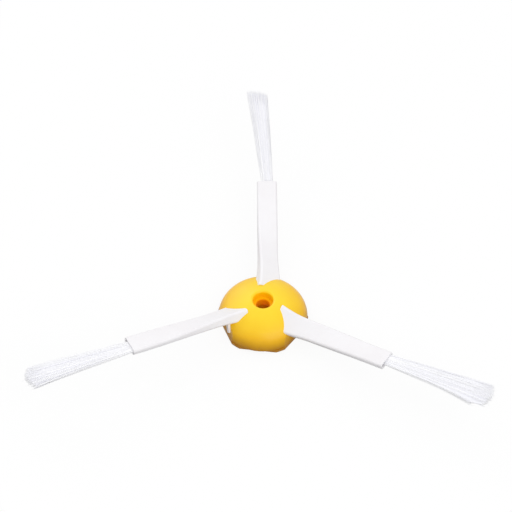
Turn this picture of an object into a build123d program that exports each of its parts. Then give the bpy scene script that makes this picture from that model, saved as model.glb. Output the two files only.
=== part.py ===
from build123d import *
import os
from collections import namedtuple
from math import atan2, cos, degrees, pi, radians, sin, sqrt

# Side brush of a floor-cleaning robot: a domed hub, three soft arm sleeves and three bristle tufts.
# The brush lies with its screw side up. The origin is on the hub's axis, in the plane of its rim.
# Lengths are in millimetres and angles in degrees.

# Hub dome: a crown arc that runs into a shoulder arc, on a low six-sided rim, with a flat below each arm
HUB_SIDES = 6
HUB_RADIUS = 15.0
DOME_HEIGHT = 9.2
SHOULDER_RADIUS = 7.0
RIM_HEIGHT = 1.4
RIM_RADIUS = 15.2
RIM_ROUND = 0.35
FLAT_DISTANCE = 13.9
FLAT_TURN = -6.0
FLAT_LEAN = 12.0

# Hub middle: screw recess from above, drive socket from below, and the floor between them
RECESS_RADIUS = 3.3
LIP_ROUND = 0.8
SCREW_HOLE_RADIUS = 2.3
SCREW_FLOOR = 2.9
SOCKET_SIDE = 5.6
SOCKET_CORNER = 0.6
SOCKET_DEPTH = 4.4
SOCKET_LEAD_IN = 0.4

# Hub underside: pockets between the arms, which leave a shell, a boss and a spoke under each arm
SHELL_WALL = 1.8
RIM_WALL = 1.8
BOSS_WALL = 1.3
SPOKE_COVER = 1.2
POCKET_ROUND = 1.0

# Arm line: it passes beside the hub's axis and climbs outwards
ARM_OFFSET = 1.55
ROOT_REACH = 7.3
ROOT_HEIGHT = 6.2
ARM_RISE = 10.0

# Arm sleeve: a flat strap that turns from steep to flat and flares where it enters the dome
SLEEVE_LENGTH = 42.1
STRAP_WIDTH = 6.9
STRAP_THICKNESS = 2.2
STRAP_ROUND = 0.8
ROOT_THICKNESS = 4.2
TAPER_LENGTH = 32.0
ROOT_PITCH = 33.0
TWIST_LENGTH = 40.0
HIGH_FLARE = 1.3
LOW_FLARE = 0.6
LOW_FLARE_START = 5.0
FLARE_LENGTH = 10.5
MOUTH_DEPTH = 3.2
MOUTH_WIDTH = 5.6
MOUTH_THICKNESS = 1.5

# Gusset under the root, square to the strap
GUSSET_START = 1.7
GUSSET_END = 6.6
GUSSET_DEPTH = 5.2
GUSSET_THICKNESS = 1.2
GUSSET_SHIFT = 1.2

# Bristle tuft: packed where the sleeve grips it, fused at its inner end, fanned beyond the mouth
TUFT_START = 5.2
BEAD_LENGTH = 1.6
BEAD_WIDTH = 5.0
BEAD_THICKNESS = 1.5
PACK_WIDTH = 3.6
PACK_THICKNESS = 1.05
PACK_ROUND = 0.25
TUFT_LENGTH = 36.6
TIP_WIDTH = 7.6
TIP_THICKNESS = 2.3
TIP_RAGGED = 1.4
RAGGED_COLUMN_TURN = 286.0
RAGGED_ROW_TURN = 115.0
FILAMENT_DIAMETER = 0.26
FILAMENT_INSET = 0.03
FILAMENT_SINK = 0.6
FILAMENT_COLUMN_COUNT = 13
FILAMENT_ROW_COUNT = 3

# Sections that guide the twisting forms, closer together towards the root of the strap
STRAP_SECTION_COUNT = 11
STRAP_CROWDING = 1.6
PACK_SECTION_COUNT = 6
MOUTH_SECTION_COUNT = 3

# Soft arms take a set: swing turns the sleeve sideways, lean and lift turn the tuft at the mouth
Arm = namedtuple("Arm", "name azimuth swing lean lift")
ARMS = (
    Arm("back", azimuth=90.0, swing=1.8, lean=4.6, lift=2.5),
    Arm("left", azimuth=210.0, swing=-0.2, lean=1.0, lift=2.5),
    Arm("right", azimuth=330.0, swing=-1.7, lean=3.3, lift=-2.0),
)

pack_end = SLEEVE_LENGTH - MOUTH_DEPTH
recess_floor = SOCKET_DEPTH + SCREW_FLOOR
boss_radius = SOCKET_SIDE / sqrt(2) + BOSS_WALL


def evenly(start, end, count):
    """Positions from start to end at equal steps."""
    return [start + (end - start) * step / (count - 1) for step in range(count)]


def mix(first, second, share):
    """A value between two others."""
    return first + (second - first) * share


def strap_pitch(along):
    """Tilt of the strap about the arm line: steep at the root, easing out to flat."""
    turned = min(along / TWIST_LENGTH, 1.0)
    return ROOT_PITCH * (1 + cos(pi * turned)) / 2


def flare(along, start):
    """Share of the full flare left at a distance along the arm, easing out past its start."""
    return min(max(1 - (along - start) / FLARE_LENGTH, 0.0), 1.0) ** 2


def high_edge(along):
    """Distance from the arm line to the strap's high edge."""
    return STRAP_WIDTH / 2 + HIGH_FLARE * flare(along, 0)


def low_edge(along):
    """Distance from the arm line to the strap's low edge, which leaves the dome further out."""
    return STRAP_WIDTH / 2 + LOW_FLARE * flare(along, LOW_FLARE_START)


def strap_thickness(along):
    """Thickness of the strap, tapering from its root."""
    taper = max(1 - along / TAPER_LENGTH, 0.0)
    return STRAP_THICKNESS + (ROOT_THICKNESS - STRAP_THICKNESS) * taper**2


def arm_plane(arm, along):
    """Plane across an arm: x runs to the strap's high edge, y out of its top face, z outwards."""
    heading = arm.azimuth + arm.swing
    root = Vector(ROOT_REACH, -ARM_OFFSET, ROOT_HEIGHT).rotate(Axis.Z, arm.azimuth)
    outwards = Vector(1, 0, 0).rotate(Axis.Y, -ARM_RISE).rotate(Axis.Z, heading)
    level = Vector(0, 1, 0).rotate(Axis.Z, heading)
    across = level.rotate(Axis((0, 0, 0), outwards), strap_pitch(along))
    return Plane(root + outwards * along, x_dir=across, z_dir=outwards)


def tip_plane(arm):
    """Plane across the tuft's tip, where the set of the arm has carried it."""
    mouth = arm_plane(arm, SLEEVE_LENGTH)
    outwards = mouth.z_dir.rotate(Axis((0, 0, 0), mouth.x_dir), -arm.lift)
    outwards = outwards.rotate(Axis.Z, arm.lean)
    level = mouth.x_dir.rotate(Axis.Z, arm.lean)
    return Plane(mouth.origin + outwards * TUFT_LENGTH, x_dir=level, z_dir=outwards)


def twisting_bar(arm, stations, width_at, thickness_at, corner):
    """Loft of rounded sections that turn with the strap."""
    return loft(
        [
            arm_plane(arm, along) * RectangleRounded(width_at(along), thickness_at(along), corner)
            for along in stations
        ]
    )


def strap(arm):
    """Outer form of a sleeve, from inside the hub to the mouth."""
    sections = []
    for share in evenly(0, 1, STRAP_SECTION_COUNT):
        along = SLEEVE_LENGTH * share**STRAP_CROWDING
        width = high_edge(along) + low_edge(along)
        middle = (high_edge(along) - low_edge(along)) / 2
        outline = Pos(X=middle) * RectangleRounded(width, strap_thickness(along), STRAP_ROUND)
        sections.append(arm_plane(arm, along) * outline)
    return loft(sections)


def gusset(arm):
    """Plate that stands square under the strap's root."""
    middle = (GUSSET_START + GUSSET_END) / 2
    section = arm_plane(arm, middle)
    corner = section.origin + section.z_dir * (GUSSET_START - middle) + section.x_dir * GUSSET_SHIFT
    side = Plane(corner, x_dir=section.z_dir, z_dir=section.x_dir)
    outline = Rectangle(GUSSET_END - GUSSET_START, GUSSET_DEPTH, align=(Align.MIN, Align.MIN))
    return extrude(side * outline, GUSSET_THICKNESS / 2, both=True)


def packed_tuft(arm):
    """The length of the tuft that the sleeve grips, with the fused bead that locks it in."""
    stations = evenly(TUFT_START, pack_end, PACK_SECTION_COUNT)
    packed = twisting_bar(arm, stations, lambda along: PACK_WIDTH, lambda along: PACK_THICKNESS, PACK_ROUND)
    bead_ends = (TUFT_START, TUFT_START + BEAD_LENGTH)
    bead = twisting_bar(arm, bead_ends, lambda along: BEAD_WIDTH, lambda along: BEAD_THICKNESS, PACK_ROUND)
    return packed + bead


def mouth(arm):
    """Room in the sleeve's end, which opens from the packed tuft to the mouth."""
    stations = evenly(pack_end, SLEEVE_LENGTH, MOUTH_SECTION_COUNT)

    def opened(packed, wide):
        return lambda along: mix(packed, wide, (along - pack_end) / MOUTH_DEPTH)

    return twisting_bar(
        arm,
        stations,
        opened(PACK_WIDTH, MOUTH_WIDTH),
        opened(PACK_THICKNESS, MOUTH_THICKNESS),
        PACK_ROUND,
    )


def filament(arm, column, row):
    """One straight bristle from the packed length to the tip."""
    across = (column + (row % 2) / 2) / (FILAMENT_COLUMN_COUNT - 0.5) * 2 - 1
    upwards = row / (FILAMENT_ROW_COUNT - 1) * 2 - 1
    pack_reach = (PACK_WIDTH / 2 - PACK_ROUND, PACK_THICKNESS / 2 - FILAMENT_DIAMETER / 2 - FILAMENT_INSET)
    turn = radians(RAGGED_COLUMN_TURN * column + RAGGED_ROW_TURN * row)
    ragged = TIP_RAGGED * (1 + sin(turn)) / 2

    start = arm_plane(arm, pack_end).from_local_coords((across * pack_reach[0], upwards * pack_reach[1], 0))
    tip = tip_plane(arm).from_local_coords((across * TIP_WIDTH / 2, upwards * TIP_THICKNESS / 2, -ragged))
    run = tip - start
    sunk = start - run.normalized() * FILAMENT_SINK
    return Solid.make_cylinder(FILAMENT_DIAMETER / 2, run.length + FILAMENT_SINK, Plane(sunk, z_dir=run))


def bristle_tuft(arm):
    """A whole tuft as one solid."""
    filaments = [
        filament(arm, column, row)
        for row in range(FILAMENT_ROW_COUNT)
        for column in range(FILAMENT_COLUMN_COUNT)
    ]
    return packed_tuft(arm) + filaments


def arm_sleeve(arm):
    """Strap and gusset, hollow where the tuft lies."""
    return strap(arm) + gusset(arm) - packed_tuft(arm) - mouth(arm)


def dome(inset):
    """The hub's dome with its flats, or the same form set in by a wall."""
    radius = HUB_RADIUS - inset
    height = DOME_HEIGHT - inset
    shoulder = SHOULDER_RADIUS - inset
    shoulder_middle = radius - shoulder
    crown = (shoulder_middle**2 + height**2 - shoulder**2) / (2 * (height - shoulder))
    turn = degrees(atan2(crown - height, shoulder_middle))
    profile = Plane.XZ * make_face(
        [
            Line((0, 0), (radius, 0)),
            CenterArc((shoulder_middle, 0), shoulder, 0, turn),
            CenterArc((0, height - crown), crown, turn, 90 - turn),
            Line((0, height), (0, 0)),
        ]
    )
    solid = revolve(profile, Axis.Z)
    beyond = Box(HUB_RADIUS, 2 * HUB_RADIUS, 2 * DOME_HEIGHT, align=(Align.MIN, Align.CENTER, Align.CENTER))
    for arm in ARMS:
        solid -= Rot(Z=arm.azimuth + FLAT_TURN) * Pos(X=FLAT_DISTANCE - inset) * Rot(Y=-FLAT_LEAN) * beyond
    return Pos(Z=RIM_HEIGHT) * solid


def six_sided(across, corner_radius):
    """Hexagon with a side below each arm, its corners turned to a circle."""
    turned = ARMS[0].azimuth + FLAT_TURN + 180 / HUB_SIDES
    return RegularPolygon(across, HUB_SIDES, major_radius=False, rotation=turned) & Circle(corner_radius)


def pockets():
    """Hollows in the underside, between the boss, the spokes and the shell."""
    steep = radians(ROOT_PITCH)
    half_thickness = ROOT_THICKNESS / 2 * sin(steep)
    low_side = low_edge(0) * cos(steep) + half_thickness + SPOKE_COVER
    high_side = high_edge(0) * cos(steep) + half_thickness + SPOKE_COVER
    spoke = Rectangle(boss_radius + RIM_RADIUS, low_side + high_side, align=(Align.MIN, Align.MIN))

    plan = Circle(FLAT_DISTANCE - RIM_WALL) - Circle(boss_radius)
    for arm in ARMS:
        plan -= Rot(Z=arm.azimuth) * Pos(-boss_radius, -ARM_OFFSET - low_side) * spoke
    plan = fillet(plan.vertices(), POCKET_ROUND)
    below = Cylinder(HUB_RADIUS - SHELL_WALL, RIM_HEIGHT, align=(Align.CENTER, Align.CENTER, Align.MIN))
    return extrude(plan, RIM_HEIGHT + DOME_HEIGHT) & (dome(SHELL_WALL) + below)


def drive_socket():
    """Square socket for the drive stud, with a tapered lead-in at the rim plane."""
    square = RectangleRounded(SOCKET_SIDE, SOCKET_SIDE, SOCKET_CORNER)
    opening = SOCKET_SIDE + 2 * SOCKET_LEAD_IN
    wide = RectangleRounded(opening, opening, SOCKET_CORNER + SOCKET_LEAD_IN)
    return extrude(square, SOCKET_DEPTH) + loft([wide, Pos(Z=SOCKET_LEAD_IN) * square])


def hub():
    """The hub, with its recess, socket, pockets and the slots that the arm roots fill."""
    upwards = (Align.CENTER, Align.CENTER, Align.MIN)
    rim = extrude(six_sided(FLAT_DISTANCE, RIM_RADIUS), RIM_HEIGHT)
    rim = fillet(rim.edges().group_by(Axis.Z)[0], RIM_ROUND)
    body = dome(0) + rim
    body -= Pos(Z=recess_floor) * Cylinder(RECESS_RADIUS, DOME_HEIGHT, align=upwards)
    lip = body.edges().filter_by(GeomType.CIRCLE).sort_by(Axis.Z)[-1]
    body = fillet(lip, LIP_ROUND)
    body -= Cylinder(SCREW_HOLE_RADIUS, DOME_HEIGHT, align=upwards)
    body -= drive_socket()
    body -= pockets()
    for arm in ARMS:
        body -= strap(arm) + gusset(arm)
    return body


def main():
    os.makedirs("parts", exist_ok=True)
    nodes = {"hub": hub()}
    for arm in ARMS:
        nodes[f"arm_sleeve_{arm.name}"] = arm_sleeve(arm)
        nodes[f"bristle_tuft_{arm.name}"] = bristle_tuft(arm)
    for name, shape in nodes.items():
        shape.label = name
        export_step(shape, f"parts/{name}.step")


main()
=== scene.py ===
import math
import random
from collections import namedtuple

import bpy
from bpy.props import FloatProperty, FloatVectorProperty, IntProperty, PointerProperty
from mathutils import Matrix, Vector


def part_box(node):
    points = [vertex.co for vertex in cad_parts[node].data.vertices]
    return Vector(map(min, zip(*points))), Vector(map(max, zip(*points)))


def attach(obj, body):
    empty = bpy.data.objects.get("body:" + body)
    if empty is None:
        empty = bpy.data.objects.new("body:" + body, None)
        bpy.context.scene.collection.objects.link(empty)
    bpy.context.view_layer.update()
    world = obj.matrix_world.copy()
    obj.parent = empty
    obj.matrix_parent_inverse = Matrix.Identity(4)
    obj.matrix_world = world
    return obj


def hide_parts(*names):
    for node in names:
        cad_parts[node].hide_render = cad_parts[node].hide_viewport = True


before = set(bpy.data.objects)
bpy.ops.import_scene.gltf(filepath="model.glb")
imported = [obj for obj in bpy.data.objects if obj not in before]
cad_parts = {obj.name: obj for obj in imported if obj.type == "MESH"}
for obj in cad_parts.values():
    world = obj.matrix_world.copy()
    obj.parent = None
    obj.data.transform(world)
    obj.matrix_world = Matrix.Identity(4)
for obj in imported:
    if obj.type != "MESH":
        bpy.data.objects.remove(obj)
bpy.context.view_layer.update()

bl_info = {
    "name": "Side Brush",
    "version": (1, 0, 0),
    "blender": (4, 5, 0),
    "location": "3D View > Sidebar > Side Brush",
    "description": "Finishes the hub and arm sleeves of a floor robot's side brush and grows its bristles",
    "category": "Object",
}

# Where a tuft leaves its sleeve and which way it runs, and the line that one bristle follows
TuftPlace = namedtuple("TuftPlace", "mouth axes reach half_thickness")
Course = namedtuple("Course", "root mouth tip bow kick")

MM = 0.001
SHOWN_DIGITS = 5
ARMS = ("back", "left", "right")
LEVEL = (1, 1, 0)
UPWARDS = (0, 0, 1)
UNIT_RADIUS = 1.0
UNSCALED = 1.0

# Detail of the noise in the surface grain, in patches of tint and in the polish
GRAIN_DETAIL = 2.0
PATCH_DETAIL = 3.0
POLISH_DETAIL = 4.0
FULL_BUMP = 1.0

# Sockets that a node doesn't name apart
FIRST = 0
SECOND = 1
COLOUR_FACTOR = 0
COLOUR_AT_NOUGHT = 6
COLOUR_AT_ONE = 7
COLOUR_RESULT = 2
SHADER_AT_NOUGHT = 1
SHADER_AT_ONE = 2

WHITE = (1, 1, 1)
WHITE_STRENGTH = 1.0
BACKGROUND_RAYS = ("Is Camera Ray", "Is Glossy Ray", "Is Transmission Ray")
IMAGE_SIZE = 512
SENSOR_WIDTH = 36.0


def length(name, millimetres, description):
    """A length property, given in millimetres."""
    metres = millimetres * MM
    return FloatProperty(
        name=name, description=description, default=metres, unit="LENGTH", precision=SHOWN_DIGITS
    )


def arm_lengths(name, millimetres, description):
    """Three lengths in millimetres, for the back, left and right arms."""
    metres = [value * MM for value in millimetres]
    return FloatVectorProperty(
        name=name, description=description, default=metres, unit="LENGTH", precision=SHOWN_DIGITS
    )


def share(name, value, description):
    """A property between nought and one."""
    return FloatProperty(name=name, description=description, default=value, min=0, max=1, subtype="FACTOR")


def count(name, value, lowest, description):
    """A whole-number property with a lowest value."""
    return IntProperty(name=name, description=description, default=value, min=lowest)


def angle(name, degrees, description):
    """An angle property, given in degrees."""
    return FloatProperty(name=name, description=description, default=math.radians(degrees), subtype="ANGLE")


def colour(name, value, description):
    """A colour property."""
    return FloatVectorProperty(
        name=name, description=description, default=value, min=0, max=1, subtype="COLOR"
    )


def power(name, watts, description):
    """A lamp's power, in watts."""
    return FloatProperty(name=name, description=description, default=watts, unit="POWER")


def hanging_place(name, metres, description):
    """Where a lamp hangs, in metres."""
    return FloatVectorProperty(name=name, description=description, default=metres, subtype="TRANSLATION")


class HubFinish(bpy.types.PropertyGroup):
    """Finish of the moulded hub"""

    crown_tint: colour("Crown tint", (0.98, 0.71, 0.03), "Yellow of the plastic at the crown")
    # The flank and rim tints are painted shade: the hub's lower flanks and rim darkened as if they lay in
    # shade.
    flank_painted_shade: colour("Flank tint", (0.95, 0.52, 0.006), "Deeper yellow of the plastic on the flanks")
    rim_painted_shade: colour("Rim tint", (0.48, 0.205, 0.002), "Amber of the plastic at the rim")
    crown_level: share("Crown level", 0.92, "How far up the hub the tint of the crown is reached")
    flank_shade_level: share("Flank level", 0.55, "How far up the hub the tint of the flanks is reached")
    rim_shade_level: share("Rim level", 0.2, "How far up the hub the tint of the rim is kept")
    # The bore and hole tints are painted shade: deeper orange for the shade and bounced light inside the
    # screw recess and hole.
    bore_painted_shade: colour("Bore tint", (1.0, 0.6, 0.002), "Orange of the plastic inside the screw recess")
    bore_shade_radius: length("Bore radius", 3.2, "Radius inside which the plastic has the tint of the bore")
    bore_shade_edge: length("Bore edge", 0.9, "Width over which the tint of the bore fades out")
    hole_painted_shade: colour("Hole tint", (1.0, 0.44, 0.001), "Deep orange of the plastic inside the screw hole")
    hole_shade_radius: length("Hole radius", 2.35, "Radius inside which the plastic has the tint of the hole")
    hole_shade_edge: length("Hole edge", 0.5, "Width over which the tint of the hole fades out")
    # The flow marks' noise shifts where the painted shade on the flanks and rim reaches.
    flow_size: length("Flow size", 7.0, "Size of the flow marks that the moulding leaves")
    flow_depth: length("Flow depth", 2.0, "How far a flow mark shifts the tint up or down the hub")
    polish_size: length("Polish size", 3.5, "Size of the patches with more or less polish")
    gloss_roughness: share("Polished roughness", 0.24, "Roughness where the mould is polished")
    dull_roughness: share("Dull roughness", 0.38, "Roughness where the mould is dull")
    grain_size: length("Grain size", 0.35, "Size of the fine grain that the mould leaves")
    grain_depth: length("Grain depth", 0.012, "Depth of the fine grain")
    shine: share("Shine", 0.3, "Strength of the reflections")


class SleeveFinish(bpy.types.PropertyGroup):
    """Finish of the soft arm sleeves"""

    tint: colour("Tint", (0.91, 0.90, 0.92), "White of the soft elastomer")
    shade_tint: colour("Shade tint", (0.88, 0.86, 0.88), "Slightly greyed white, where it has been handled")
    shade_size: length("Shade size", 9.0, "Size of the greyed patches")
    shade_level: share("Shade level", 0.3, "Level of the patches' noise at which the white is fully greyed")
    clean_level: share("Clean level", 0.7, "Level of the patches' noise at which the white is clean")
    grain_size: length("Grain size", 0.22, "Size of the matte grain")
    grain_depth: length("Grain depth", 0.015, "Depth of the matte grain")
    roughness: share("Roughness", 0.58, "Roughness of the elastomer")


class TuftShape(bpy.types.PropertyGroup):
    """Shape and finish of the bristle tufts"""

    bristles: count("Bristles", 240, 20, "Bristles in each tuft")
    clumps: count("Clumps", 9, 2, "Groups that the bristles of a tuft gather in")
    seed: count("Seed", 11, 0, "Start of the random numbers")
    sides: count("Sides", 6, 3, "Sides of one bristle")
    segments: count("Segments", 6, 2, "Segments along one bristle")
    stock_length: length("Stock length", 40.0, "Free length at which a bristle is modelled, before it is cut")
    diameter: length("Diameter", 0.13, "Diameter of one bristle")
    tip_taper: share("Tip taper", 0.6, "How much of its diameter a bristle keeps at the tip")
    core_sides: count("Core sides", 24, 3, "Sides of the packed core that stands for the inner bristles")
    core_width: share("Core width", 0.93, "Width of the packed core in the tuft")
    core_thickness: share("Core thickness", 0.7, "Thickness of the packed core in the tuft")
    core_reach: share("Core reach", 0.97, "How far the packed core reaches towards the tips")
    core_taper: share("Core taper", 0.06, "How much of its thickness the packed core keeps at its end")
    bow: length("Bow", 0.25, "How far a bristle bows to one side")
    sink: length("Sink", 3.0, "How deep the bristles reach into the sleeve")
    bundle_width: length("Bundle width", 3.4, "Width of the bundle that the sleeve grips")
    bundle_thickness: length("Bundle thickness", 0.85, "Thickness of the bundle that the sleeve grips")
    mouth_thickness: length("Mouth thickness", 1.2, "Thickness of each tuft where it leaves its sleeve")
    edge_thinning: share("Edge thinning", 1 / 3, "How much thinner each tuft is at its edges")
    end_zone: length("End zone", 1.0, "Length of sleeve that is measured to place the mouth")
    tip_zone: length("Tip zone", 2.5, "Length of tuft that is measured to place the tips")
    mouth_widths: arm_lengths("Mouth widths", (3.8, 4.6, 4.4), "Width of each tuft at its sleeve's mouth")
    mouth_shifts: arm_lengths("Mouth shifts", (-0.2, 0.45, 0.55), "How far to the left each tuft comes out")
    tip_widths: arm_lengths("Tip widths", (6.8, 8.2, 8.4), "Width of each tuft at its tips, before it splays")
    tip_shifts: arm_lengths("Tip shifts", (0.0, 0.9, 0.6), "How far to the left each tuft has its tips")
    slants: arm_lengths("Slants", (1.5, 0.9, -0.5), "How much longer the left edge is than the right one")
    crowns: arm_lengths("Crowns", (0.4, 1.9, 1.3), "How much longer the middle is than the edges")
    splays: arm_lengths("Splays", (0.5, 0.8, -1.6), "Kick of the left edge, or of the right one if negative")
    edge_cuts: arm_lengths("Edge cuts", (0.0, 0.0, 4.0), "How much shorter the clump at the splayed edge is")
    splay_from: share("Splay from", 0.45, "How far from the middle to its edge a tuft starts to splay")
    cut_from: share("Cut from", 0.65, "How far along the splayed edge a bristle is in the shorter clump")
    kick_start: share("Kick start", 0.45, "How far along its free length a splayed bristle starts its kick")
    ragged: length("Ragged", 0.6, "How much the lengths of bristles vary")
    clump_ragged: length("Clump ragged", 0.5, "How much the lengths of clumps vary")
    gather: share("Gather", 0.15, "How far the bristles of a clump draw together at the tip")
    stray_share: share("Stray share", 0.03, "Share of the bristles that stand out at the tip")
    stray_length: length("Stray length", 1.3, "How far such a bristle stands out")
    tint: colour("Tint", (0.985, 0.985, 0.995), "White of the nylon")
    shade_tint: colour("Shade tint", (0.89, 0.89, 0.935), "Faint lavender grey of the packed core")
    core_tone: share("Core tone", 0.35, "Lightest tone in the core, from its grey to the bristles' white")
    bristle_tone: share("Bristle tone", 0.7, "Darkest tone of a bristle, from the core's grey to its white")
    roughness: share("Roughness", 0.42, "Roughness of the nylon")


class StudioSetup(bpy.types.PropertyGroup):
    """Floor, light and camera"""

    floor_tint: colour("Floor tint", (0.95, 0.95, 0.95), "White of the floor, as the camera sees it")
    bounce_tint: colour("Bounce tint", (0.3, 0.3, 0.3), "Grey of the floor, as it lights the brush")
    floor_size: length("Floor size", 6000.0, "Side of the floor")
    floor_white: share("Floor white", 0.90, "Share of plain white that the camera sees in the floor")
    sky_strength: share("Sky strength", 0.77, "Strength of the even light all round")
    lamp_size: length("Lamp size", 1000.0, "Side of each soft lamp")
    key_power: power("Key power", 4.6, "Power of the lamp in front")
    key_place: hanging_place("Key place", (0.5, -0.75, 0.8), "Where the lamp in front hangs")
    fill_power: power("Fill power", 3.4, "Power of the lamp behind")
    fill_place: hanging_place("Fill place", (-0.6, 0.75, 0.6), "Where the lamp behind hangs")
    light_bounces: count("Light bounces", 12, 0, "How often light bounces, to reach between the bristles")
    elevation: angle("Elevation", 52.5, "Height of the camera above the horizon")
    azimuth: angle("Azimuth", 1.1, "Turn of the camera round the hub")
    distance: length("Distance", 750.0, "Distance from the camera to the hub")
    pixels_per_mm: FloatProperty(
        name="Pixels per mm", description="Scale of the picture at the hub", default=2.965
    )
    hub_pixel: FloatVectorProperty(
        name="Hub pixel",
        description="Where the hub's origin falls in the picture, from its upper left corner",
        default=(263.2, 318.2),
        size=2,
    )


class SideBrushSettings(bpy.types.PropertyGroup):
    """All settings of the side brush"""

    hub: PointerProperty(name="Hub", description="Finish of the hub", type=HubFinish)
    sleeves: PointerProperty(name="Sleeves", description="Finish of the arm sleeves", type=SleeveFinish)
    tufts: PointerProperty(name="Tufts", description="Shape and finish of the tufts", type=TuftShape)
    studio: PointerProperty(name="Studio", description="Floor, light and camera", type=StudioSetup)


def new_material(name):
    """An empty material, its nodes and its principled shader."""
    material = bpy.data.materials.new(name)
    material.use_nodes = True
    return material, material.node_tree, material.node_tree.nodes["Principled BSDF"]


def add_node(tree, kind, inputs, **settings):
    """Adds a node, sets its inputs by name or number, and its own settings."""
    node = tree.nodes.new(kind)
    for name, value in settings.items():
        setattr(node, name, value)
    for name, value in inputs.items():
        node.inputs[name].default_value = value
    return node


def opaque(tint):
    """A tint as a socket takes it."""
    return (*tint, 1)


def object_place(tree):
    """Coordinates that are fixed to the piece."""
    return add_node(tree, "ShaderNodeTexCoord", {}).outputs["Object"]


def object_noise(tree, size, detail):
    """Noise with features of a given size, fixed to the piece."""
    noise = add_node(tree, "ShaderNodeTexNoise", {"Scale": 1 / size, "Detail": detail})
    tree.links.new(object_place(tree), noise.inputs["Vector"])
    return noise.outputs["Fac"]


def scaled(tree, value, factor):
    """A value times a plain number."""
    product = add_node(tree, "ShaderNodeMath", {SECOND: factor}, operation="MULTIPLY")
    tree.links.new(value, product.inputs[FIRST])
    return product.outputs["Value"]


def combined(tree, operation, first, second):
    """Two values joined by a sum or the like."""
    result = add_node(tree, "ShaderNodeMath", {}, operation=operation)
    tree.links.new(first, result.inputs[FIRST])
    tree.links.new(second, result.inputs[SECOND])
    return result.outputs["Value"]


def map_range(tree, value, limits, **settings):
    """A value moved from one range to another."""
    moved = add_node(tree, "ShaderNodeMapRange", limits, **settings)
    tree.links.new(value, moved.inputs["Value"])
    return moved.outputs["Result"]


def tint_ramp(tree, factor, stops):
    """A ramp through colours that are given by their places."""
    ramp = add_node(tree, "ShaderNodeValToRGB", {})
    elements = ramp.color_ramp.elements
    while len(elements) < len(stops):
        elements.new(max(stops))
    for element, (position, tint) in zip(elements, sorted(stops.items())):
        element.position = position
        element.color = opaque(tint)
    tree.links.new(factor, ramp.inputs["Fac"])
    return ramp.outputs["Color"]


def grain_bump(tree, shader, size, depth):
    """Fine grain on the surface."""
    bump = add_node(tree, "ShaderNodeBump", {"Strength": FULL_BUMP, "Distance": depth})
    tree.links.new(object_noise(tree, size, GRAIN_DETAIL), bump.inputs["Height"])
    tree.links.new(bump.outputs["Normal"], shader.inputs["Normal"])


def axis_distance(tree):
    """Distance from the hub's axis."""
    flat = add_node(tree, "ShaderNodeVectorMath", {SECOND: LEVEL}, operation="MULTIPLY")
    tree.links.new(object_place(tree), flat.inputs[FIRST])
    distance = add_node(tree, "ShaderNodeVectorMath", {}, operation="LENGTH")
    tree.links.new(flat.outputs["Vector"], distance.inputs[FIRST])
    return distance.outputs["Value"]


def tint_within(tree, radius, edge, inside, outside):
    """One tint near the hub's axis, fading over an edge into the tint outside it."""
    limits = {"From Min": radius, "From Max": radius + edge}
    fade = map_range(tree, axis_distance(tree), limits, interpolation_type="SMOOTHSTEP")
    blend = add_node(tree, "ShaderNodeMix", {COLOUR_AT_NOUGHT: opaque(inside)}, data_type="RGBA")
    tree.links.new(fade, blend.inputs[COLOUR_FACTOR])
    tree.links.new(outside, blend.inputs[COLOUR_AT_ONE])
    return blend.outputs[COLOUR_RESULT]


def painted_shade_level(tree, finish):
    """Height on the hub, from nought to one, shifted by the flow marks, that places the painted shade towards
    the rim.
    """
    low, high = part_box("hub")
    place = add_node(tree, "ShaderNodeSeparateXYZ", {})
    tree.links.new(object_place(tree), place.inputs["Vector"])
    flow = scaled(tree, object_noise(tree, finish.flow_size, PATCH_DETAIL), finish.flow_depth)
    height = combined(tree, "ADD", place.outputs["Z"], flow)
    return map_range(tree, height, {"From Min": low.z, "From Max": high.z + finish.flow_depth})


def hub_plastic(finish):
    """Yellow moulded plastic with painted shade, deeper towards the rim and in the bore and hole, with grain
    and an uneven polish.
    """
    material, tree, shader = new_material("hub_plastic")
    # Painted shade: deeper yellow on the flanks and amber at the rim, darker towards the bottom of the hub.
    stops = {
        finish.rim_shade_level: finish.rim_painted_shade,
        finish.flank_shade_level: finish.flank_painted_shade,
        finish.crown_level: finish.crown_tint,
    }
    outside = tint_ramp(tree, painted_shade_level(tree, finish), stops)
    # Painted shade: deeper orange inside the screw recess, and deeper still inside the screw hole.
    bored = tint_within(tree, finish.bore_shade_radius, finish.bore_shade_edge, finish.bore_painted_shade, outside)
    holed = tint_within(tree, finish.hole_shade_radius, finish.hole_shade_edge, finish.hole_painted_shade, bored)
    tree.links.new(holed, shader.inputs["Base Color"])
    patches = object_noise(tree, finish.polish_size, POLISH_DETAIL)
    polish = map_range(tree, patches, {"To Min": finish.gloss_roughness, "To Max": finish.dull_roughness})
    tree.links.new(polish, shader.inputs["Roughness"])
    grain_bump(tree, shader, finish.grain_size, finish.grain_depth)
    shader.inputs["Specular IOR Level"].default_value = finish.shine
    return material


def sleeve_rubber(finish):
    """Soft white elastomer with a matte grain and faintly greyed patches."""
    material, tree, shader = new_material("sleeve_rubber")
    shade = object_noise(tree, finish.shade_size, PATCH_DETAIL)
    stops = {finish.shade_level: finish.shade_tint, finish.clean_level: finish.tint}
    tree.links.new(tint_ramp(tree, shade, stops), shader.inputs["Base Color"])
    shader.inputs["Roughness"].default_value = finish.roughness
    grain_bump(tree, shader, finish.grain_size, finish.grain_depth)
    return material


def bristle_nylon(shape):
    """White nylon whose tone differs from bristle to bristle."""
    material, tree, shader = new_material("bristle_nylon")
    tone = add_node(tree, "ShaderNodeAttribute", {}, attribute_name="tone")
    stops = {0: shape.shade_tint, 1: shape.tint}
    tree.links.new(tint_ramp(tree, tone.outputs["Fac"], stops), shader.inputs["Base Color"])
    shader.inputs["Roughness"].default_value = shape.roughness
    return material


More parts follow.
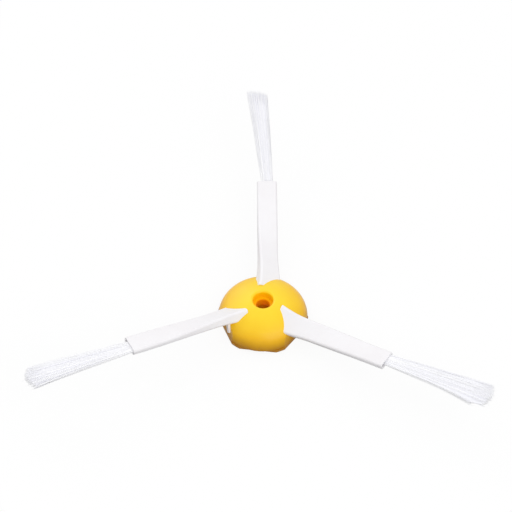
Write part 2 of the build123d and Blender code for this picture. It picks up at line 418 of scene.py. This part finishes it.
def dress(piece, material):
    """Gives a piece its material."""
    piece.data.materials.clear()
    piece.data.materials.append(material)


def deselect_all():
    """Leaves object mode with nothing selected."""
    if bpy.context.mode != "OBJECT":
        bpy.ops.object.mode_set(mode="OBJECT")
    bpy.ops.object.select_all(action="DESELECT")


class SIDEBRUSH_OT_hub(bpy.types.Operator):
    """Gives the hub its moulded yellow plastic"""

    bl_idname = "side_brush.hub"
    bl_label = "Hub"

    def execute(self, context):
        dress(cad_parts["hub"], hub_plastic(context.scene.side_brush.hub))
        return {"FINISHED"}


class SIDEBRUSH_OT_sleeves(bpy.types.Operator):
    """Gives the arm sleeves their soft white elastomer"""

    bl_idname = "side_brush.sleeves"
    bl_label = "Arm sleeves"

    def execute(self, context):
        material = sleeve_rubber(context.scene.side_brush.sleeves)
        for arm in ARMS:
            dress(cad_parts["arm_sleeve_" + arm], material)
        return {"FINISHED"}


def cad_points(node):
    """Vertices of a CAD node."""
    return [vertex.co.copy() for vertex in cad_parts[node].data.vertices]


def outer_end(points, outwards, zone):
    """The points within a zone of the outer end."""
    reach = max(point.dot(outwards) for point in points)
    return [point for point in points if point.dot(outwards) > reach - zone]


def extent(points, axis):
    """Lowest and highest place of some points along an axis."""
    places = [point.dot(axis) for point in points]
    return min(places), max(places)


def box_middle(points):
    """Middle of the box around some points."""
    return Vector([sum(extent(points, axis)) / 2 for axis in Matrix.Identity(3)])


def tuft_place(arm, shape):
    """Where a tuft leaves its sleeve, which way it runs and how far it spreads, read from the CAD nodes."""
    tuft = cad_points("bristle_tuft_" + arm)
    outwards = (box_middle(tuft) * Vector(LEVEL)).normalized()
    mouth = box_middle(outer_end(cad_points("arm_sleeve_" + arm), outwards, shape.end_zone))
    tips = outer_end(tuft, outwards, shape.tip_zone)
    run = (box_middle(tips) - mouth).normalized()
    across = Vector(UPWARDS).cross(run).normalized()
    upwards = run.cross(across)
    _, reach = extent([tip - mouth for tip in tips], run)
    low, high = extent(tips, upwards)
    return TuftPlace(
        mouth=mouth,
        axes=Matrix((across, upwards, run)).transposed(),
        reach=reach,
        half_thickness=(high - low) / 2,
    )


def model_rod(sides, radius, tip_scale, shape):
    """One straight rod along Z with a blunt tip, sunk below Z = 0, to be copied."""
    deselect_all()
    bpy.ops.mesh.primitive_circle_add(
        vertices=sides, radius=radius, fill_type="NGON", location=(0, 0, -shape.sink)
    )
    bpy.ops.object.transform_apply(location=True)
    rod = bpy.context.active_object
    bpy.ops.object.mode_set(mode="EDIT")
    bpy.ops.mesh.select_all(action="SELECT")
    step = shape.stock_length / shape.segments
    for rise in [shape.sink] + [step] * shape.segments:
        bpy.ops.mesh.extrude_region_move(TRANSFORM_OT_translate={"value": (0, 0, rise)})
    bpy.ops.transform.resize(value=(*tip_scale, UNSCALED))
    bpy.ops.mesh.select_all(action="SELECT")
    bpy.ops.mesh.normals_make_consistent(inside=False)
    bpy.ops.object.mode_set(mode="OBJECT")
    return rod


def splayed(left, number, shape):
    """How far into the splayed edge of a tuft a place across it lies, from nought to one."""
    side = math.copysign(1, shape.splays[number])
    return max((side * left - shape.splay_from) / (1 - shape.splay_from), 0)


def even_course(place, number, shape, left, up):
    """A course through one place in a tuft's section, in the tuft's own axes: to the left, up and along."""
    mouth_left = shape.mouth_shifts[number] + left * shape.mouth_widths[number] / 2
    tip_left = shape.tip_shifts[number] + left * shape.tip_widths[number] / 2
    edge = splayed(left, number, shape)
    reach = place.reach + shape.slants[number] * left / 2 + shape.crowns[number] * (1 - left**2)
    if edge > shape.cut_from:
        reach -= shape.edge_cuts[number]
    return Course(
        root=Vector((left * shape.bundle_width / 2, up * shape.bundle_thickness / 2, -shape.sink)),
        mouth=Vector((mouth_left, up * shape.mouth_thickness / 2, 0)),
        tip=Vector((tip_left, up * place.half_thickness, reach)),
        bow=Vector((0, 0, 0)),
        kick=Vector((shape.splays[number] * edge, 0, 0)),
    )


def bristle_courses(place, number, shape, draw):
    """The courses of a tuft's bristles, gathered in clumps and cut unevenly."""
    clump_lengths = [draw.uniform(-1, 0) * shape.clump_ragged for _ in range(shape.clumps)]
    for bristle in range(shape.bristles):
        left = 2 * (bristle + draw.random()) / shape.bristles - 1
        up = draw.uniform(-1, 1) * (1 - left**2 * shape.edge_thinning)
        clump = min(int((left + 1) / 2 * shape.clumps), shape.clumps - 1)
        clump_middle = (2 * clump + 1) / shape.clumps - 1
        gathered = shape.gather * (clump_middle - left) * shape.tip_widths[number] / 2
        longer = clump_lengths[clump] - draw.uniform(0, 1) * shape.ragged
        if draw.random() < shape.stray_share:
            longer += draw.uniform(0, 1) * shape.stray_length
        heading = draw.uniform(0, math.tau)
        course = even_course(place, number, shape, left, up)
        yield course._replace(
            tip=course.tip + Vector((gathered, 0, longer)),
            bow=Vector((math.cos(heading), math.sin(heading), 0)) * draw.uniform(0, 1) * shape.bow,
        )


def rod_shares(vertex, shape):
    """How far along a rod's free length a vertex lies, and how deep in the sleeve."""
    return max(vertex.co.z, 0) / shape.stock_length, max(-vertex.co.z, 0) / shape.sink


def point_on(course, shape, along, sunk):
    """A point of a course, by its share of the free length or of the length in the sleeve."""
    kicked = max(along - shape.kick_start, 0) / (1 - shape.kick_start)
    point = course.mouth.lerp(course.tip, along) + (course.root - course.mouth) * sunk
    return point + course.bow * math.sin(math.pi * along) + course.kick * kicked**2


def own_copy(rod, points, tones):
    """A copy of a rod with its own mesh, points and tones."""
    mesh = rod.data.copy()
    for vertex, point in zip(mesh.vertices, points):
        vertex.co = point
    tone = mesh.attributes.new("tone", "FLOAT", "POINT")
    tone.data.foreach_set("value", tones)
    copy = bpy.data.objects.new(rod.name, mesh)
    bpy.context.scene.collection.objects.link(copy)
    return copy


def lay_bristle(bristle, place, course, shape, draw):
    """A copy of the bristle, rolled and laid along its course."""
    roll = Matrix.Rotation(draw.uniform(0, math.tau), 3, "Z")
    points = []
    for vertex in bristle.data.vertices:
        along, sunk = rod_shares(vertex, shape)
        section = roll @ (vertex.co * Vector(LEVEL))
        points.append(place.mouth + place.axes @ (point_on(course, shape, along, sunk) + section))
    return own_copy(bristle, points, [draw.uniform(shape.bristle_tone, 1)] * len(points))


def lay_core(core, place, number, shape, draw):
    """A copy of the core, flattened and fanned out as the tuft is, with a streak of tone along each side."""
    streaks = [draw.uniform(0, shape.core_tone) for _ in range(shape.core_sides)]
    points = []
    tones = []
    for vertex in core.data.vertices:
        along, sunk = rod_shares(vertex, shape)
        left = vertex.co.x * shape.core_width
        course = even_course(place, number, shape, left, vertex.co.y * shape.core_thickness)
        point = point_on(course, shape, along * shape.core_reach, sunk)
        points.append(place.mouth + place.axes @ point)
        turn = math.atan2(vertex.co.y, vertex.co.x) / math.tau
        tones.append(streaks[round(turn * shape.core_sides) % shape.core_sides])
    return own_copy(core, points, tones)


def grow_tuft(arm, bristle, core, shape, draw):
    """Joins one arm's core and bristles into a tuft that stands for the CAD tuft."""
    place = tuft_place(arm, shape)
    number = ARMS.index(arm)
    copies = [lay_core(core, place, number, shape, draw)]
    for course in bristle_courses(place, number, shape, draw):
        copies.append(lay_bristle(bristle, place, course, shape, draw))
    deselect_all()
    for copy in copies:
        copy.select_set(True)
    bpy.context.view_layer.objects.active = copies[0]
    bpy.ops.object.join()
    tuft = bpy.context.active_object
    tuft.name = "bristles_" + arm
    tuft.data.name = tuft.name
    bpy.ops.object.shade_smooth_by_angle()
    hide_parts("bristle_tuft_" + arm)
    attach(tuft, "root")
    return tuft


class SIDEBRUSH_OT_tufts(bpy.types.Operator):
    """Grows the bristles out of each sleeve"""

    bl_idname = "side_brush.tufts"
    bl_label = "Bristle tufts"

    def execute(self, context):
        shape = context.scene.side_brush.tufts
        draw = random.Random(shape.seed)
        material = bristle_nylon(shape)
        bristle = model_rod(shape.sides, shape.diameter / 2, (shape.tip_taper, shape.tip_taper), shape)
        core = model_rod(shape.core_sides, UNIT_RADIUS, (UNSCALED, shape.core_taper), shape)
        for arm in ARMS:
            dress(grow_tuft(arm, bristle, core, shape, draw), material)
        bpy.data.objects.remove(bristle)
        bpy.data.objects.remove(core)
        return {"FINISHED"}


def seen_by(tree, kinds):
    """One for the rays of the given kinds, and nought for the others."""
    rays = add_node(tree, "ShaderNodeLightPath", {}).outputs
    seen = rays[kinds[0]]
    for kind in kinds[1:]:
        seen = combined(tree, "MAXIMUM", seen, rays[kind])
    return seen


def mix_shaders(tree, factor, at_nought, at_one):
    """A mix of two shaders."""
    mixed = add_node(tree, "ShaderNodeMixShader", {})
    tree.links.new(factor, mixed.inputs["Fac"])
    tree.links.new(at_nought, mixed.inputs[SHADER_AT_NOUGHT])
    tree.links.new(at_one, mixed.inputs[SHADER_AT_ONE])
    return mixed.outputs["Shader"]


def floor_paint(studio):
    """White to the camera but for a faint shadow, pale in reflections, and grey as it lights the brush."""
    material, tree, _ = new_material("studio_floor")
    bounce = add_node(tree, "ShaderNodeBsdfDiffuse", {"Color": opaque(studio.bounce_tint)})
    matte = add_node(tree, "ShaderNodeBsdfDiffuse", {"Color": opaque(studio.floor_tint)})
    white = add_node(tree, "ShaderNodeEmission", {"Strength": WHITE_STRENGTH})
    plain_white = scaled(tree, seen_by(tree, ("Is Camera Ray",)), studio.floor_white)
    pale = mix_shaders(tree, plain_white, matte.outputs["BSDF"], white.outputs["Emission"])
    mixed = mix_shaders(tree, seen_by(tree, BACKGROUND_RAYS), bounce.outputs["BSDF"], pale)
    tree.links.new(mixed, tree.nodes["Material Output"].inputs["Surface"])
    return material


def studio_floor(studio):
    """A plain pale floor under the brush."""
    deselect_all()
    bpy.ops.mesh.primitive_plane_add(size=studio.floor_size, location=(0, 0, 0))
    floor = bpy.context.active_object
    floor.name = "studio_floor"
    dress(floor, floor_paint(studio))


def hang_lamp(name, watts, size, place):
    """A square soft lamp that points at the hub."""
    lamp = bpy.data.lights.new(name, "AREA")
    lamp.energy = watts
    lamp.size = size
    holder = bpy.data.objects.new(name, lamp)
    holder.location = place
    holder.rotation_euler = (-Vector(place)).to_track_quat("-Z", "Y").to_euler()
    bpy.context.scene.collection.objects.link(holder)


def studio_light(studio):
    """Even light all round, white to the camera and in reflections, and two soft lamps above."""
    world = bpy.data.worlds.new("studio_world")
    world.use_nodes = True
    bpy.context.scene.world = world
    tree = world.node_tree
    sky = tree.nodes["Background"]
    sky.inputs["Color"].default_value = opaque(WHITE)
    limits = {"To Min": studio.sky_strength, "To Max": WHITE_STRENGTH}
    tree.links.new(map_range(tree, seen_by(tree, BACKGROUND_RAYS), limits), sky.inputs["Strength"])
    hang_lamp("key_lamp", studio.key_power, studio.lamp_size, studio.key_place)
    hang_lamp("fill_lamp", studio.fill_power, studio.lamp_size, studio.fill_place)


def studio_camera(studio):
    """A camera that sees the hub at its place in the picture."""
    camera = bpy.data.objects.new("studio_camera", bpy.data.cameras.new("studio_camera"))
    bpy.context.scene.collection.objects.link(camera)
    bpy.context.scene.camera = camera
    camera.data.sensor_width = SENSOR_WIDTH
    camera.data.lens = studio.pixels_per_mm * studio.distance / MM * SENSOR_WIDTH / IMAGE_SIZE

    turn = Matrix.Rotation(studio.azimuth, 3, "Z")
    tilt = Matrix.Rotation(math.pi / 2 - studio.elevation, 3, "X")
    rightwards, upwards, backwards = (turn @ tilt).col
    camera.location = backwards * studio.distance
    pixels_right, pixels_down = studio.hub_pixel
    right_of_hub = (IMAGE_SIZE / 2 - pixels_right) / studio.pixels_per_mm * MM
    above_hub = (pixels_down - IMAGE_SIZE / 2) / studio.pixels_per_mm * MM
    target = rightwards * right_of_hub + upwards * above_hub
    camera.rotation_euler = (target - camera.location).to_track_quat("-Z", "Y").to_euler()


class SIDEBRUSH_OT_studio(bpy.types.Operator):
    """Sets the floor, the light and the camera"""

    bl_idname = "side_brush.studio"
    bl_label = "Studio"

    def execute(self, context):
        studio = context.scene.side_brush.studio
        context.scene.view_settings.view_transform = "Standard"
        context.scene.cycles.diffuse_bounces = studio.light_bounces
        studio_floor(studio)
        studio_light(studio)
        studio_camera(studio)
        return {"FINISHED"}


class SIDEBRUSH_PT_panel(bpy.types.Panel):
    """Lists the steps that finish the side brush, each with its settings"""

    bl_idname = "SIDEBRUSH_PT_panel"
    bl_label = "Side Brush"
    bl_space_type = "VIEW_3D"
    bl_region_type = "UI"
    bl_category = "Side Brush"

    def draw(self, context):
        for name, operator in STEPS.items():
            box = self.layout.box()
            box.operator(operator.bl_idname)
            settings = getattr(context.scene.side_brush, name)
            for setting in type(settings).__annotations__:
                box.prop(settings, setting)


SETTINGS = (HubFinish, SleeveFinish, TuftShape, StudioSetup, SideBrushSettings)
STEPS = {
    "hub": SIDEBRUSH_OT_hub,
    "sleeves": SIDEBRUSH_OT_sleeves,
    "tufts": SIDEBRUSH_OT_tufts,
    "studio": SIDEBRUSH_OT_studio,
}
CLASSES = (*SETTINGS, *STEPS.values(), SIDEBRUSH_PT_panel)


def register():
    """Adds the classes and the scene's settings."""
    for cls in CLASSES:
        bpy.utils.register_class(cls)
    bpy.types.Scene.side_brush = PointerProperty(
        name="Side brush", description="All settings of the side brush", type=SideBrushSettings
    )


def unregister():
    """Removes the scene's settings and the classes."""
    del bpy.types.Scene.side_brush
    for cls in reversed(CLASSES):
        bpy.utils.unregister_class(cls)


def main():
    """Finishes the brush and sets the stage."""
    register()
    bpy.ops.side_brush.hub()
    bpy.ops.side_brush.sleeves()
    bpy.ops.side_brush.tufts()
    bpy.ops.side_brush.studio()


if __name__ == "__main__":
    main()
